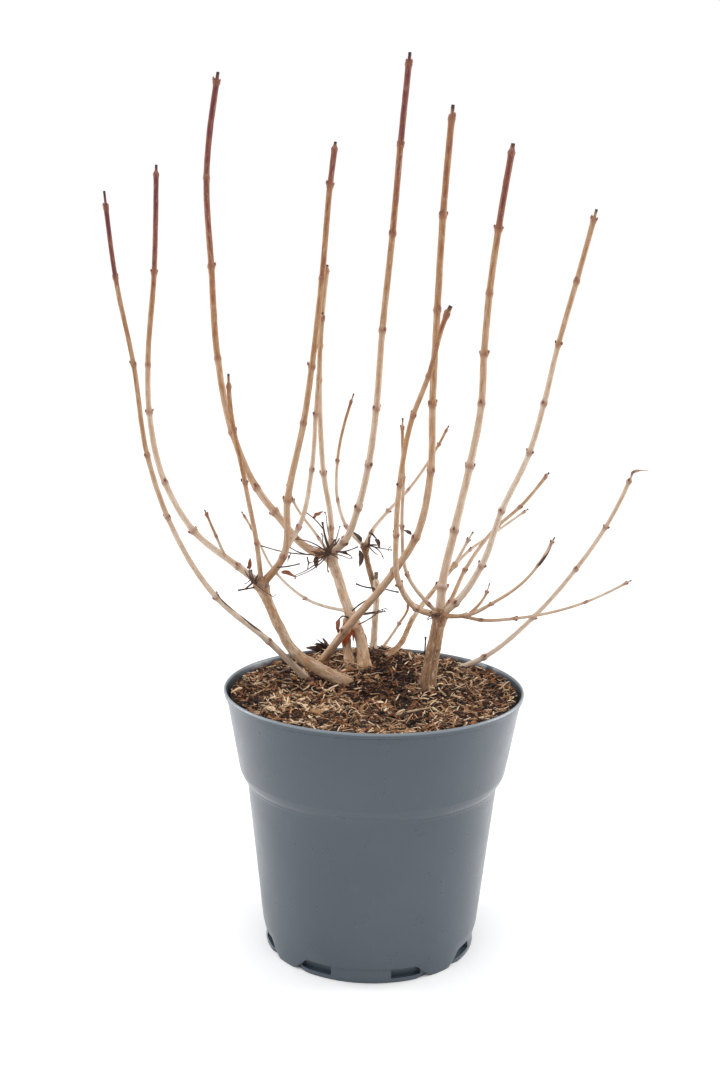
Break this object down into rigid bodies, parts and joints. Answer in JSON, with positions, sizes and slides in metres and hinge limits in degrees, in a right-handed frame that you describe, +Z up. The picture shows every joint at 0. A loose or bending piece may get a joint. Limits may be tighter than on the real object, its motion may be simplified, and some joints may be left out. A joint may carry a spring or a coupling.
{
  "type": "potted snowball viburnum",
  "caption": "Bare winter shrub with long upright canes growing from low knuckled stems, in a round grey nursery pot filled to the rim with bark mulch.",
  "frame": {"origin": "centre of the pot's flat underside, on the ground the pot stands on", "axes": "+Z up, -Y towards the front of the shrub as pictured, +X to the viewer's right"},
  "size_m": [0.4483, 0.353, 0.7864],
  "materials": {
    "pot_plastic": "satin dark blue-grey injection-moulded plastic, lightly scuffed",
    "bark_mulch": "shredded bark and peat, matt, brown with tan and dark shreds",
    "old_bark": "finely cracked grey-tan bark",
    "cane_bark": "smooth tan bark, red-brown at the nodes and purple-red on the last growth",
    "dry_stalk": "dry dark brown flower stalks and shrivelled leaves"
  },
  "bodies": {
    "root": {"pot": "pot_plastic", "growing_medium": "bark_mulch", "stem_left": "old_bark", "stem_centre": "old_bark", "stem_centre_side": "old_bark", "stem_back": "old_bark", "stem_right": "old_bark", "bough_back": "old_bark", "bough_right_back": "old_bark", "cane_far_left": "cane_bark", "cane_left": "cane_bark", "twig_left": "cane_bark", "cane_left_inner": "cane_bark", "cane_left_front": "cane_bark", "cane_left_inner_side": "cane_bark", "cane_back_left": "cane_bark", "cane_tallest": "cane_bark", "cane_centre_back": "cane_bark", "cane_centre_short": "cane_bark", "cane_low_left": "cane_bark", "cane_back_right": "cane_bark", "cane_back_middle": "cane_bark", "cane_cross": "cane_bark", "sprig_back": "cane_bark", "cane_right_back_long": "cane_bark", "cane_right_back_short": "cane_bark", "cane_right_upright": "cane_bark", "cane_right": "cane_bark", "cane_front": "cane_bark", "cane_inner_front": "cane_bark", "cane_right_behind": "cane_bark", "cane_right_low": "cane_bark", "twig_right_low": "cane_bark", "cane_right_level": "cane_bark", "cane_far_right": "cane_bark", "stalks_left": "dry_stalk", "stalks_centre": "dry_stalk", "stalks_centre_back": "dry_stalk", "stalks_trunk": "dry_stalk", "stalks_back": "dry_stalk", "stalks_right": "dry_stalk"}
  },
  "joints": []
}
